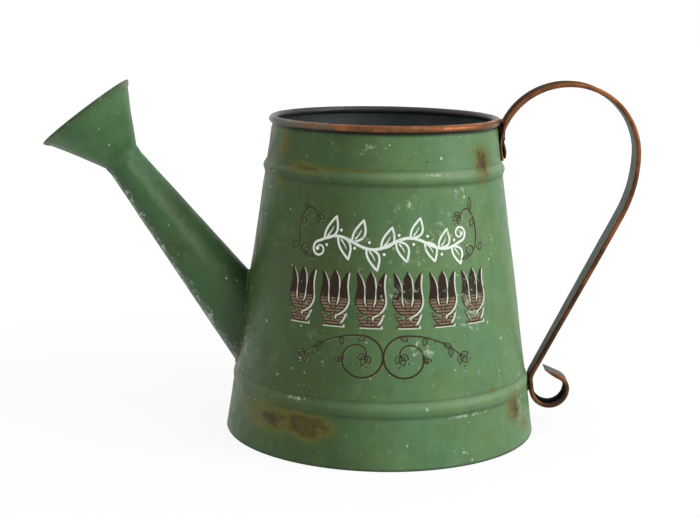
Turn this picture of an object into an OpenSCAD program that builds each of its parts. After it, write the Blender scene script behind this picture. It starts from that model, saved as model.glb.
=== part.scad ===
// Tin watering can: a tapered body of rolled sheet, a long straight spout with
// a flared rose, and one strap bent into an arched handle that ends in a scroll.
// Units are millimetres.  The can stands on z = 0 with the body's axis on Z, the
// handle towards +X and the spout towards -X.

/* [Body] */
// Outside diameter of the body where it stands
base_d = 186; // [170:1:200]
// Outside diameter of the wall's line at the height of the rim
mouth_d = 132; // [124:1:140]
// Height of the rim roll's centre
rim_z = 186; // [180:1:192]
// Thickness of the sheet that everything is made from
sheet = 0.6; // [0.5:0.05:0.8]
// Diameter of the rolled rim
rim_roll_d = 4.6; // [4:0.1:5.2]
// Height of the middle of the upper swaged rib
upper_rib_z = 159; // [150:1:159]
// Width of the upper rib
upper_rib_w = 9; // [8:0.5:9]
// How far the upper rib stands out of the wall
upper_rib_h = 1.6; // [0.6:0.1:1.8]
// Height of the middle of the lower swaged rib
lower_rib_z = 33; // [31:1:34]
// Width of the lower rib
lower_rib_w = 10; // [8:1:12]
// How far the lower rib stands out of the wall
lower_rib_h = 0.9; // [0.6:0.1:1.2]
// Height of the base plate's top above the ground
base_rise = 4.6; // [4:0.1:6]
// Width of the lapped seam down the back of the wall
seam_w = 9; // [6:1:12]

/* [Spout] */
// Angle of the spout above the horizontal
spout_angle = 52; // [51:0.5:53]
// Distance of the neck's centre from the body's axis
neck_x = 156.8; // [154:0.2:159]
// Height of the neck's centre
neck_z = 160.8; // [158:0.2:163]
// Outside diameter of the spout at the neck
neck_d = 21.6; // [20:0.2:24]
// Angle between the spout's side and its axis
spout_taper = 4.4; // [3.5:0.1:5]

/* [Rose] */
// Outside diameter of the rose at its mouth
rose_d = 62.6; // [56:0.2:68]
// Length of the rose from the neck to its face
rose_len = 33.4; // [30:0.2:38]
// Width of the band where the face is folded over the cone
rose_band = 3; // [2:0.5:4]
// Diameter of one hole in the face
rose_hole_d = 2; // [1.5:0.1:2.5]
// Number of rings of holes around the middle one
rose_rings = 4; // [2:1:4]

/* [Handle] */
// Width of the strap over its rolled edges
strap_w = 20; // [18:0.5:21]
// Width of the strap at its lower end, in the scroll
strap_end_w = 14.2; // [13:0.2:18]
// Height at which the strap starts to narrow towards the scroll
narrow_z = 112; // [90:2:125]
// Diameter of the strap's rolled edges
strap_roll_d = 2.8; // [2.6:0.1:3]
// How flat the rolled edges are hammered on the tab, from 0, flat, to 1, round
tab_press = 0.35; // [0.3:0.05:0.6]
// Height of the tab's lower end, just above the upper rib
tab_low_z = 163.6; // [163.4:0.1:165]
// Radius of the bend above the tab
tab_bend_r = 12; // [8:1:14]
// Distance of the arch's centre from the body's axis
arch_x = 107.8; // [107.4:0.1:109]
// Height of the arch's centre
arch_z = 167.4; // [167:0.1:169]
// Radius of the arch on the hand's side
arch_r = 39.7; // [39.4:0.1:40]
// Radius of the shoulder below the arch
shoulder_r = 80; // [70:1:84]
// Slope of the long straight run below the shoulder
run_slope = 63.5; // [63.2:0.1:63.8]
// Radius of the bend where the run meets the wall
foot_bend_r = 10; // [8:1:12]
// Radius of the first half of the scroll
scroll_r = 12.1; // [11.6:0.1:12.4]
// Radius of the tighter bend that ends the scroll
scroll_end_r = 9.2; // [9:0.1:10]
// How far the scroll's middle is below the middle of the lower rib
scroll_drop = 8; // [7:0.5:9]
// How far that last bend turns
scroll_end_turn = 68; // [60:1:70]
// Length of the scroll's straight end
scroll_tail = 10; // [8:0.5:11]

/* [Hidden] */
$fn = 96;
fine = 360;
eps = 0.01;

base_r = base_d / 2;
lean = (base_r - mouth_d / 2) / rim_z;
lean_angle = atan(lean);
rim_roll_r = rim_roll_d / 2;
wall_t = sheet / cos(lean_angle);
wall_top_z = rim_z - rim_roll_r + sheet / 2;
foot_turn_h = 3;
rib_steps = 10;
seam_angle = seam_w / (PI * base_d) * 360;
back_azimuth = 90;

neck_r = neck_d / 2;
taper = tan(spout_taper);
spout_len = 135;
neck_overlap = 4;
solder = 1.8;
solder_depth = 2;
solder_w = 10;

collar_len = 3;
rose_flare = atan((rose_d / 2 - neck_r) / rose_len);
rose_t = sheet / cos(rose_flare);
rose_neck_r = neck_r + rose_t;
rose_mouth_r = rose_d / 2 - rose_t;
rose_hole_pitch = 6;

strap_roll_r = strap_roll_d / 2;
roll_y = strap_w / 2 - strap_roll_r;
narrowing = (strap_w - strap_end_w) / 2;
roll_turn = 280;
roll_steps = 7;
bend_step = 8;

// directions and points of the handle lie in the plane y = 0 and are written [x, z]
wall_normal = dir(lean_angle);

// the arch is a circle that comes down towards the rim at this place, counted from +X
arch_start = 161;
arch_c = [arch_x, arch_z];
arch_low = arch_c + arch_r * dir(arch_start);

// the tab's hammered edges lie on the wall, and a bend carries it into the arch
joint_gap = 0.1;
tab_t = sheet + (strap_roll_d - sheet) * tab_press;
tab_wall_x = sqrt(pow(wall_r(tab_low_z), 2) - pow(roll_y, 2));
tab_offset = [tab_wall_x + joint_gap + tab_t, tab_low_z] * wall_normal;
tab_heading = 90 + lean_angle;
tab_bend_c = meet(wall_normal, tab_offset + tab_bend_r, -dir(arch_start), tab_bend_r - arch_low * dir(arch_start));
tab_end = tab_bend_c - tab_bend_r * wall_normal;
tab_len = (tab_end.y - tab_low_z) / sin(tab_heading);
tab_start = tab_end - tab_len * dir(tab_heading);

// below the arch a gentler shoulder leads into the straight run
shoulder_turn = 90 - run_slope;
shoulder_c = arch_c + [arch_r - shoulder_r, 0];
run_start = shoulder_c + shoulder_r * dir(-shoulder_turn);
run_heading = -90 - shoulder_turn;
run_normal = dir(-shoulder_turn);
narrow_start = run_start + (run_start.y - narrow_z) / cos(shoulder_turn) * dir(run_heading);

// at the foot the strap bends parallel to the wall and lies on the lower rib
foot_heading = -90 + lean_angle;
foot_offset = (base_r + lower_rib_h + joint_gap) * wall_normal.x;
foot_bend_c = meet(run_normal, run_start * run_normal + foot_bend_r, wall_normal, foot_offset + foot_bend_r);
run_end = foot_bend_c - foot_bend_r * run_normal;
foot_start = foot_bend_c - foot_bend_r * wall_normal;

scroll_z = lower_rib_z - scroll_drop;
scroll_c = [(scroll_r + foot_offset - scroll_z * wall_normal.y) / wall_normal.x, scroll_z];
foot_end = scroll_c - scroll_r * wall_normal;
scroll_end_c = scroll_c + [scroll_r - scroll_end_r, 0];
scroll_end = scroll_end_c + scroll_end_r * dir(scroll_end_turn);
scroll_end_heading = scroll_end_turn + 90;

GREEN = "#4f7a4c";
COPPER = "#a5673c";
ZINC = "#6d7478";
TIN = "#8b8f86";

// ---- the wall's outline ----

// radius of the plain wall at height z
function wall_r(z) = base_r - lean * z;

// how far a swaged rib of width w and height h, centred at zc, stands out at height z
function rib(z, zc, w, h) = abs(z - zc) >= w / 2 ? 0 : h * (1 + cos(360 * (z - zc) / w)) / 2;

function ribs(z) = rib(z, upper_rib_z, upper_rib_w, upper_rib_h) + rib(z, lower_rib_z, lower_rib_w, lower_rib_h);

// the heights at which the wall's outline has a corner
function rib_heights(zc, w) = [for (i = [0 : rib_steps]) zc - w / 2 + w * i / rib_steps];
wall_heights = concat([0], rib_heights(lower_rib_z, lower_rib_w), rib_heights(upper_rib_z, upper_rib_w), [wall_top_z]);

// the wall's outline from bottom to top, moved outwards by d
function wall_line(d) = [for (z = wall_heights) [wall_r(z) + ribs(z) + d, z]];

function reversed(list) = [for (i = [len(list) - 1 : -1 : 0]) list[i]];

module wall_band(inner, outer) {
    polygon(concat(wall_line(outer), reversed(wall_line(inner))));
}

// everything inside the wall's outer face, grown by d
module wall_envelope(d) {
    rotate_extrude() polygon(concat([[0, 0]], wall_line(d), [[0, wall_top_z]]));
}

// a point at height z, counted in layers of sheet inwards from the wall's outer face
function layer_point(layer, z) = [wall_r(z) - layer * wall_t, z];

// layers of sheet that run parallel to the wall
module layers(outer, inner, low, high) {
    polygon([layer_point(inner, low), layer_point(outer, low), layer_point(outer, high), layer_point(inner, high)]);
}

// the spout's frame: its axis is Z, with the neck's centre at 0 and the body below
module along_spout() {
    translate([-neck_x, 0, neck_z]) rotate([0, spout_angle - 90, 0]) children();
}

// a cone on the spout's axis, from depth below the neck to height above it
module spout_cone(grow, depth, height) {
    along_spout() translate([0, 0, -depth])
        cylinder(h = depth + height, r1 = neck_r + taper * depth + grow, r2 = neck_r - taper * height + grow);
}

// the wall, its foot turned in and up round the base plate's skirt, and its top rolled round the wire
module wall_section() {
    wall_band(-wall_t, 0);
    layers(0, 3, 0, sheet);
    layers(2, 3, 0, foot_turn_h);
    translate([mouth_d / 2, rim_z]) difference() {
        circle(r = rim_roll_r);
        circle(r = rim_roll_r - sheet);
    }
}

module body_wall() {
    color(GREEN) difference() {
        union() {
            rotate_extrude() wall_section();
            rotate([0, 0, back_azimuth - seam_angle / 2]) rotate_extrude(angle = seam_angle) seam_section();
        }
        spout_cone(-sheet, spout_len, 0);
    }
}

// the lap of the wall's seam, which stops short of the foot and the rim
module seam_section() {
    intersection() {
        wall_band(-wall_t / 2, sheet);
        translate([0, foot_turn_h]) square([base_d, wall_top_z - 2 * foot_turn_h]);
    }
}

module rim_wire() {
    color(TIN) rotate_extrude() translate([mouth_d / 2, rim_z]) circle(r = rim_roll_r - sheet);
}

module base_plate() {
    color(ZINC) rotate_extrude() {
        translate([0, base_rise - sheet]) square([wall_r(base_rise) - 1.5 * wall_t, sheet]);
        layers(1, 2, sheet, base_rise);
    }
}

module spout_tube() {
    color(GREEN) difference() {
        spout_cone(0, spout_len, neck_overlap);
        spout_cone(-sheet, spout_len + eps, neck_overlap + eps);
        wall_envelope(0);
    }
}

module spout_solder() {
    color(TIN) difference() {
        intersection() {
            spout_cone(solder, spout_len, 0);
            wall_envelope(solder);
        }
        spout_cone(0, spout_len + eps, eps);
        wall_envelope(0);
    }
}

// radius of the rose's outer face at a height above the neck
function rose_r_at(height) = rose_neck_r + (rose_mouth_r - rose_neck_r) * height / rose_len;

// a layer of sheet on the rose's cone, between two distances from its outer face
module rose_layer(inner, outer, low, high) {
    polygon([
        [rose_r_at(low) + inner, low],
        [rose_r_at(low) + outer, low],
        [rose_r_at(high) + outer, high],
        [rose_r_at(high) + inner, high]
    ]);
}

module rose_cone() {
    color(GREEN) along_spout() rotate_extrude() {
        rose_layer(-rose_t, 0, 0, rose_len);
        // the collar that the spout's end is pushed into
        polygon([
            [neck_r + taper * collar_len, -collar_len],
            [neck_r + taper * collar_len + rose_t, -collar_len],
            [neck_r + rose_t, 0],
            [neck_r, 0]
        ]);
    }
}

// the perforated face, folded back over the edge of the cone
module rose_plate() {
    color(GREEN) along_spout() difference() {
        rotate_extrude() {
            translate([0, rose_len]) square([rose_r_at(rose_len) + rose_t, sheet]);
            rose_layer(0, rose_t, rose_len - rose_band * cos(rose_flare), rose_len);
        }
        for (ring = [0 : rose_rings])
            for (i = [0 : max(1, 6 * ring) - 1])
                rotate([0, 0, 360 * i / max(1, 6 * ring)])
                    translate([rose_hole_pitch * ring, 0, rose_len - sheet])
                        cylinder(h = 3 * sheet, d = rose_hole_d, $fn = 24);
    }
}

// ---- the handle, drawn in the plane y = 0 as points [x, z] ----

function dir(angle) = [cos(angle), sin(angle)];

// the point at distance d1 from the origin along the direction n1, and at d2 along n2
function meet(n1, d1, n2, d2) = let (cross = n1.x * n2.y - n1.y * n2.x)
    [(d1 * n2.y - d2 * n1.y) / cross, (d2 * n1.x - d1 * n2.x) / cross];

// points of a rolled edge from one angle to another, on the strap's side that is +1 or -1 in y
function roll_arc(r, from, to, side) = [
    for (i = [0 : roll_steps])
        let (a = from + (to - from) * i / roll_steps)
            [strap_roll_r + r * cos(a), side * (roll_y + r * sin(a))]
];

// one rolled edge: out from the hand's face, over, and back inside to the other face
function rolled_edge(side) = concat(
    roll_arc(strap_roll_r, 180, 180 - roll_turn, side),
    roll_arc(strap_roll_r - sheet, 180 - roll_turn, 180, side)
);

// the strap across its length: the hand's face at x = 0, the rolled edges standing up from it
strap_outline = concat(rolled_edge(1), reversed(rolled_edge(-1)));

// a place along the strap is [point on the hand's face, heading, roundness of the rolled edges, how far each of
// them is moved in towards the middle]; these are the places along a bend, without the first one
function bend(centre, r, from, to, round = 1, inset = 0) = let (n = ceil(abs(to - from) / bend_step)) [
    for (i = [1 : n])
        let (a = from + (to - from) * i / n)
            [centre + r * dir(a), a + (to > from ? 90 : -90), round, inset]
];

// the whole strap, from the end of its tab to the end of the scroll
strap_places = concat(
    [[tab_start, tab_heading, tab_press, 0], [tab_end, tab_heading, tab_press, 0]],
    bend(tab_bend_c, tab_bend_r, tab_heading + 90, arch_start, tab_press),
    [[arch_low, arch_start - 90, 1, 0]],
    bend(arch_c, arch_r, arch_start, 0),
    bend(shoulder_c, shoulder_r, 0, -shoulder_turn),
    [[narrow_start, run_heading, 1, 0], [run_end, run_heading, 1, narrowing]],
    bend(foot_bend_c, foot_bend_r, run_heading - 90, foot_heading - 90, 1, narrowing),
    [[foot_end, foot_heading, 1, narrowing]],
    bend(scroll_c, scroll_r, foot_heading - 90, 0, 1, narrowing),
    bend(scroll_end_c, scroll_end_r, 0, scroll_end_turn, 1, narrowing),
    [[scroll_end + scroll_tail * dir(scroll_end_heading), scroll_end_heading, 1, narrowing]]
);

// the outline at one place: x of the outline goes to the left of the heading, y stays y
function outline_at(place) = let (left = dir(place[1] + 90)) [
    for (p = strap_outline)
        let (x = min(p.x, sheet) + max(p.x - sheet, 0) * place[2])
            [place[0].x + x * left.x, p.y - sign(p.y) * place[3], place[0].y + x * left.y]
];

module handle_strap() {
    n = len(strap_outline);
    last = len(strap_places) - 1;
    color(COPPER) polyhedron(
        points = [for (place = strap_places) each outline_at(place)],
        faces = concat(
            [[for (j = [n - 1 : -1 : 0]) j], [for (j = [0 : n - 1]) last * n + j]],
            [for (i = [0 : last - 1], j = [0 : n - 1])
                let (k = (j + 1) % n) [i * n + j, i * n + k, (i + 1) * n + k, (i + 1) * n + j]]
        ),
        convexity = 8
    );
}

// turns the drawing plane up, so that its second axis is Z
module in_plane(point, angle) {
    translate([point.x, 0, point.y]) rotate([90, 0, 0]) rotate([0, 0, angle]) children();
}

// a pad of solder that fills the space between a straight stretch of the strap and the wall: it starts at a
// distance from the hand's face and stays between the rolled edges
module solder_pad(start, heading, length, from) {
    color(TIN) difference() {
        in_plane(start, heading) translate([0, from, -solder_w / 2]) cube([length, solder_depth, solder_w]);
        wall_envelope(0, $fn = fine);
    }
}

module handle_top_solder() {
    solder_pad(tab_start, tab_heading, tab_len, sheet);
}

module handle_foot_solder() {
    solder_pad(foot_start, foot_heading, norm(foot_end - foot_start), -solder_depth);
}

body_wall();
rim_wire();
base_plate();
spout_tube();
spout_solder();
rose_cone();
rose_plate();
handle_strap();
handle_top_solder();
handle_foot_solder();
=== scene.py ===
# %% [markdown]
# # An old painted watering can
#
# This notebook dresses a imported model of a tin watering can.  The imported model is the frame: it says where
# every piece is and how big it is, and each piece made here sits exactly on it.  We go through the can as a
# tinsmith would: the wall, the base, the spout with its rose, the strap handle, the solder, and at last the
# print and the years of wear.

from math import atan, atan2, copysign, cos, degrees, hypot, pi, radians, sin, sqrt, tan

import bmesh
import bpy
from mathutils import Matrix, Vector, noise


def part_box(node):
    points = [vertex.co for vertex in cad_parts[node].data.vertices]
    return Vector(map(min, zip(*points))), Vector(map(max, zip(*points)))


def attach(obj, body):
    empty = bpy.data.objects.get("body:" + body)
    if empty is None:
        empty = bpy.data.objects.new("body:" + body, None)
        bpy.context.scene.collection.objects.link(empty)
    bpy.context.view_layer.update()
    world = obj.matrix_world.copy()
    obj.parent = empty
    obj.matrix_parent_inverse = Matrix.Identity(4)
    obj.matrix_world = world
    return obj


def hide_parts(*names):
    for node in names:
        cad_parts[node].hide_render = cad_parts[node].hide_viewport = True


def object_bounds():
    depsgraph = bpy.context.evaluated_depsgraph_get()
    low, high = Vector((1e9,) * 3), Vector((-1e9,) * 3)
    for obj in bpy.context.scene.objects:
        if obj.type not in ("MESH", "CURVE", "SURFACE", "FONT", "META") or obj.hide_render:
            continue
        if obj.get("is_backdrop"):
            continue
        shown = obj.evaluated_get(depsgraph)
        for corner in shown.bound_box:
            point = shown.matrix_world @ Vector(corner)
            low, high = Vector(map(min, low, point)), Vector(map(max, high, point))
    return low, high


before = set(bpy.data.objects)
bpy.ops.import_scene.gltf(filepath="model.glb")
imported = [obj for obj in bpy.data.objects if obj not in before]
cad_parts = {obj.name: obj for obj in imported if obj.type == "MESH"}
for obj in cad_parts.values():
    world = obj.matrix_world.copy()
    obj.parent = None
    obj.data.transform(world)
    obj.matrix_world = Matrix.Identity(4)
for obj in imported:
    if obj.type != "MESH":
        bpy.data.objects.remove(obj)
cad_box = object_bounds()
print("pieces of the frame:", sorted(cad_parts))

# %% [markdown]
# ## Sizes
#
# Everything is drawn in millimetres and scaled to metres when a piece is finished.  The driving sizes are
# read from the frame where it has them, so the looks follow if the frame changes.

# %% Sizes of the sheet, the wall and the rim
MM = 0.001
SHEET = 0.6
ROLL_R = 2.3

wall_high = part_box("body_wall")[1]
BASE_R = wall_high.y / MM
RIM_Z = wall_high.z / MM - ROLL_R
MOUTH_R = 66.0
BASE_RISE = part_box("base_plate")[1].z / MM
RIBS = ((159.0, 9.0, 1.6), (33.0, 10.0, 0.9))  # height of the middle, width, how far it stands out
SLOPE = (BASE_R - MOUTH_R) / RIM_Z
print(f"base radius {BASE_R:.1f} mm, rim at {RIM_Z:.1f} mm, base plate's top at {BASE_RISE:.1f} mm")


# %% The wall's outline and its dents
def wall_radius(z):
    """Radius of the plain wall at a height."""
    return BASE_R - SLOPE * z


def rib_height(z):
    """How far the swaged ribs stand out at a height."""
    near = [(z - middle, width, height) for middle, width, height in RIBS if abs(z - middle) < width / 2]
    return sum(height * (1 + cos(2 * pi * offset / width)) / 2 for offset, width, height in near)


def dent(angle, z):
    """Small unevenness of the hammered wall: wide soft dents and some finer ones."""
    place = Vector((cos(angle), sin(angle), z / 80))
    return 0.34 * noise.noise(place * 2.3) + 0.12 * noise.noise(place * 7 + Vector((5, 1, 2)))


def on_wall(angle, z, lift=0.0):
    """A point on the wall's outer face, at an angle from +X, with the ribs and the dents."""
    r = wall_radius(z) + rib_height(z) + dent(angle, z) + lift
    return Vector((r * cos(angle), r * sin(angle), z))


print("the wall is", round(wall_radius(0) - wall_radius(RIM_Z), 1), "mm narrower at the rim than at the foot")

# %% [markdown]
# ## Camera, floor and light
#
# The camera stands a little above the can and looks slightly down.  The floor is plain and pale.  Seen by the
# camera it is nearly white and keeps only a soft shadow; for the light it is an ordinary matt floor.  Two
# large soft lamps on the right, one low and one high, model the wall and the ribs, and the pale surroundings
# fill the rest.


# %% The camera
def new_object(name, data):
    """An object in the scene, at the origin."""
    made = bpy.data.objects.new(name, data)
    bpy.context.scene.collection.objects.link(made)
    return made


CAMERA_AT = Vector((0.0, -0.8387, 0.2620))
YAW, PITCH, ROLL = -0.0231, 0.1887, 0.0151

ahead = Vector((sin(YAW) * cos(PITCH), cos(YAW) * cos(PITCH), -sin(PITCH)))
across = Vector((cos(YAW), -sin(YAW), 0))
upwards = across.cross(ahead)
camera_x = across * cos(ROLL) + upwards * sin(ROLL)
camera_y = upwards * cos(ROLL) - across * sin(ROLL)
camera = new_object("camera", bpy.data.cameras.new("camera"))
turn = Matrix((camera_x, camera_y, -ahead)).transposed().to_4x4()
camera.matrix_world = Matrix.Translation(CAMERA_AT) @ turn
camera.data.sensor_width = 36
camera.data.lens = 72.95
bpy.context.scene.camera = camera
bpy.context.scene.view_settings.view_transform = "Standard"
print("the camera looks down by", round(degrees(PITCH), 1), "degrees")

# %% [markdown]
# A finish is a tree of nodes, and most of its nodes only do sums.  A Field holds one output of a node, and
# Python's own signs work on it: field * 2 places a Math node that doubles it.  So a finish reads like a recipe.


# %% A short way to place nodes
def fill(made, inputs):
    """Fills a node's inputs with plain values, or links them to fields."""
    for name, value in dict(inputs).items():
        value = getattr(value, "socket", value)
        if isinstance(value, bpy.types.NodeSocket):
            made.id_data.links.new(value, made.inputs[name])
        else:
            made.inputs[name].default_value = value


def add_node(tree, kind, inputs=(), **settings):
    """Adds a shader node, makes its settings and fills its inputs."""
    made = tree.nodes.new(kind)
    for name, value in settings.items():
        setattr(made, name, value)
    fill(made, inputs)
    return made


class Field:
    """A number, place or colour that changes over the surface."""

    def __init__(self, socket):
        self.socket = socket
        self.tree = socket.id_data

    def __add__(self, other):
        return calculate("ADD", self, other)

    def __sub__(self, other):
        return calculate("SUBTRACT", self, other)

    def __rsub__(self, other):
        return calculate("SUBTRACT", other, self)

    def __mul__(self, other):
        return calculate("MULTIPLY", self, other)

    def __truediv__(self, other):
        return calculate("DIVIDE", self, other)

    def __abs__(self):
        return calculate("ABSOLUTE", self)

    def vector(self, operation, other=(0, 0, 0)):
        """Vector arithmetic on a place."""
        made = add_node(self.tree, "ShaderNodeVectorMath", {0: self, 1: other}, operation=operation)
        gives_number = operation in ("LENGTH", "DISTANCE", "DOT_PRODUCT")
        return Field(made.outputs["Value" if gives_number else "Vector"])


def calculate(operation, a, b=0.0):
    """One sum, product or other operation on two values, of which one is a field."""
    tree = (a if isinstance(a, Field) else b).tree
    return Field(add_node(tree, "ShaderNodeMath", {0: a, 1: b}, operation=operation).outputs[0])


def remap(field, low, high, to_low=0.0, to_high=1.0):
    """Stretches low..high to another range with soft ends."""
    inputs = {"Value": field, "From Min": low, "From Max": high, "To Min": to_low, "To Max": to_high}
    made = add_node(field.tree, "ShaderNodeMapRange", inputs, interpolation_type="SMOOTHSTEP")
    return Field(made.outputs[0])


def mix_colors(factor, a, b, blend="MIX"):
    """Lays colour b over colour a."""
    tree = next(value.tree for value in (factor, a, b) if isinstance(value, Field))
    inputs = {0: factor, 6: a, 7: b}
    return Field(add_node(tree, "ShaderNodeMix", inputs, data_type="RGBA", blend_type=blend).outputs[2])


def new_finish(name):
    """An empty material, and the place on the object that its pattern reads."""
    material = bpy.data.materials.new(name)
    material.use_nodes = True
    material.node_tree.nodes.clear()
    return material, Field(add_node(material.node_tree, "ShaderNodeTexCoord").outputs["Object"])


print("node helpers ready")

# %% The floor and the white surroundings
WHITE = (1, 1, 1, 1)
FLOOR_R = 6.0  # metres


def end_for_camera(tree, end, share, plain, seen):
    """Ends a tree: the camera gets a share of the second shader, and the light meets the first."""
    path = add_node(tree, "ShaderNodeLightPath").outputs
    either = calculate("MAXIMUM", Field(path["Is Camera Ray"]), path["Is Glossy Ray"])
    watched = calculate("MAXIMUM", either, path["Is Transmission Ray"])
    inputs = {0: watched * share if share else watched, 1: plain.outputs[0], 2: seen.outputs[0]}
    add_node(tree, end, {"Surface": add_node(tree, "ShaderNodeMixShader", inputs).outputs[0]})


floor_material, spot = new_finish("pale_floor")
tree = spot.tree
matt = add_node(tree, "ShaderNodeBsdfDiffuse", {"Color": (0.60, 0.60, 0.59, 1)})
glow = add_node(tree, "ShaderNodeEmission", {"Color": WHITE, "Strength": 1.1})
share = remap(spot.vector("LENGTH"), 0.25, 0.9, 0.80, 0.97)
end_for_camera(tree, "ShaderNodeOutputMaterial", share, matt, glow)

bm = bmesh.new()
bmesh.ops.create_circle(bm, cap_ends=True, radius=FLOOR_R, segments=64)
floor_mesh = bpy.data.meshes.new("floor")
bm.to_mesh(floor_mesh)
bm.free()
floor_mesh.materials.append(floor_material)
floor = new_object("floor", floor_mesh)
floor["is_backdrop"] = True

world = bpy.data.worlds.new("studio")
world.use_nodes = True
bpy.context.scene.world = world
tree = world.node_tree
tree.nodes.clear()
soft = add_node(tree, "ShaderNodeBackground", {"Color": WHITE, "Strength": 0.72})
plain = add_node(tree, "ShaderNodeBackground", {"Color": WHITE, "Strength": 1.0})
end_for_camera(tree, "ShaderNodeOutputWorld", None, soft, plain)
print("floor", floor.dimensions.x, "m across")


# %% The lamps
def add_lamp(name, place, size, power):
    """A soft square lamp that faces the middle of the can."""
    lamp = new_object(name, bpy.data.lights.new(name, "AREA"))
    lamp.data.size = size
    lamp.data.energy = power
    lamp.location = place
    lamp.rotation_euler = (Vector((0, 0, 0.1)) - Vector(place)).to_track_quat("-Z", "Y").to_euler()


add_lamp("side_right", (1.52, -0.45, 0.72), 0.9, 11.5)
add_lamp("high_right", (0.85, -0.45, 1.45), 0.8, 6.2)

# %% [markdown]
# ## Shared effects
#
# Old paint is many effects on top of each other.  Each effect that more than one finish needs is a node group
# with named inputs, built once: small chips, a stain of a given place and reach, and the old paint itself.
# They all read Object coordinates in metres, so the pattern stays on the metal.


# %% A way to make a node group
def new_group(name, inputs, outputs):
    """An empty group, the fields it is given, and its last node.  inputs and outputs say name and kind."""
    group = bpy.data.node_groups.new(name, "ShaderNodeTree")
    for way, sockets in (("INPUT", inputs), ("OUTPUT", outputs)):
        for socket_name, kind in sockets.items():
            group.interface.new_socket(socket_name, in_out=way, socket_type="NodeSocket" + kind)
    given = {s.name: Field(s) for s in group.nodes.new("NodeGroupInput").outputs if s.name}
    return group, given, group.nodes.new("NodeGroupOutput")


def use_group(group, **inputs):
    """Places a group in a finish, and gives back its outputs by name."""
    made = add_node(inputs["Vector"].tree, "ShaderNodeGroup", inputs, node_tree=group)
    return {s.name: Field(s) for s in made.outputs}


def noise_value(where, scale, detail=2.0, roughness=0.5):
    """Plain noise between 0 and 1."""
    inputs = {"Vector": where, "Scale": scale, "Detail": detail, "Roughness": roughness}
    return Field(add_node(where.tree, "ShaderNodeTexNoise", inputs).outputs[0])


print("group helpers ready")

# %% Chips: small spots where the top coat is gone
sockets = {"Vector": "Vector", "Scale": "Float", "Share": "Float", "Size": "Float"}
CHIPS, given, put = new_group("chips", sockets, {"Mask": "Float"})
where = given["Vector"]
ragged = add_node(CHIPS, "ShaderNodeTexNoise", {"Vector": where, "Scale": 620.0, "Detail": 2.0})
bent = Field(ragged.outputs["Color"]).vector("SUBTRACT", (0.5, 0.5, 0.5))
small = add_node(CHIPS, "ShaderNodeVectorMath", {0: bent, "Scale": 0.0016}, operation="SCALE")
inputs = {"Vector": where.vector("ADD", small.outputs[0]), "Scale": given["Scale"]}
cells = add_node(CHIPS, "ShaderNodeTexVoronoi", inputs).outputs
dice = [Field(s) for s in add_node(CHIPS, "ShaderNodeSeparateColor", {0: cells["Color"]}).outputs]
chosen = calculate("LESS_THAN", dice[0], given["Share"])
reach = given["Size"] * remap(dice[1], 0, 1, 0.35, 1.0)
fill(put, {"Mask": remap(reach - cells["Distance"], 0.0, 0.10) * chosen})
print("group", CHIPS.name, "has", len(CHIPS.nodes), "nodes")

# %% Stain: a ragged field round one place
sockets = {"Vector": "Vector", "Centre": "Vector", "Reach": "Vector", "Strength": "Float"}
STAIN, given, put = new_group("stain", sockets, {"Field": "Float"})
where = given["Vector"]
length = where.vector("SUBTRACT", given["Centre"]).vector("DIVIDE", given["Reach"]).vector("LENGTH")
rough_edge = noise_value(where.vector("MULTIPLY", (1, 1, 1.9)), 56, 7, 0.68) * 2.0
fill(put, {"Field": (rough_edge + 0.55 - length) * given["Strength"]})
print("group", STAIN.name, "has", len(STAIN.nodes), "nodes")

# %% Old paint: two greens, rubbed places, streaks, bare specks and dark pits
DARK_GREEN = (0.043, 0.093, 0.027, 1)
DARK_OLIVE = (0.048, 0.082, 0.020, 1)
SAGE = (0.112, 0.206, 0.078, 1)
COOL_SAGE = (0.098, 0.206, 0.092, 1)
PALE_GREEN = (0.20, 0.29, 0.16, 1)
PRIMER = (0.56, 0.66, 0.50, 1)
DEEP = (0.014, 0.022, 0.010, 1)

outputs = {"Color": "Color", "Roughness": "Float", "Height": "Float", "Chips": "Float"}
PAINT, given, put = new_group("old_paint", {"Vector": "Vector", "Fade": "Float", "Wear": "Float"}, outputs)
where, wear = given["Vector"], given["Wear"]
dark = mix_colors(remap(noise_value(where, 17, 4, 0.6), 0.36, 0.66), DARK_GREEN, DARK_OLIVE)
pale = mix_colors(remap(noise_value(where, 30, 5, 0.62), 0.38, 0.66), SAGE, COOL_SAGE)
# the share of pale green; on the wall it carries the painted sheen towards the lamps
color = mix_colors(given["Fade"], dark, pale)

upright = where.vector("MULTIPLY", (1, 1, 0.25))
streaks = remap(noise_value(upright, 170, 5, 0.62), 0.32, 0.68, 0.96, 1.04)
tone = streaks * remap(noise_value(where, 85, 6, 0.66), 0.30, 0.70, 0.91, 1.09)
gray = add_node(PAINT, "ShaderNodeCombineColor", {0: tone, 1: tone, 2: tone}).outputs[0]
color = mix_colors(1.0, color, gray, "MULTIPLY")

# rubbed places are a little paler and greyer
color = mix_colors(remap(noise_value(where, 75, 7, 0.72), 0.56, 0.76) * 0.30, color, PALE_GREEN)

# chips come in flurries, and wear adds more of them
crowd = remap(noise_value(where, 26, 2, 0.5), 0.42, 0.70) * 0.115 + wear * 0.22
fine = use_group(CHIPS, Vector=where, Scale=380.0, Share=crowd, Size=0.34)["Mask"]
large = use_group(CHIPS, Vector=where, Scale=190.0, Share=crowd * 0.35, Size=0.24)["Mask"]
scuffs = remap(noise_value(where, 240, 8, 0.80) + wear * 0.13, 0.585, 0.66)
scuffs = scuffs * remap(wear, 0.02, 0.5, 0.25, 0.95)
chips = calculate("MAXIMUM", calculate("MAXIMUM", fine, large), scuffs)
color = mix_colors(chips * 0.74, color, PRIMER)
pits = use_group(CHIPS, Vector=where, Scale=300.0, Share=0.03, Size=0.30)["Mask"]
color = mix_colors(pits * 0.7, color, DEEP)

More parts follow.
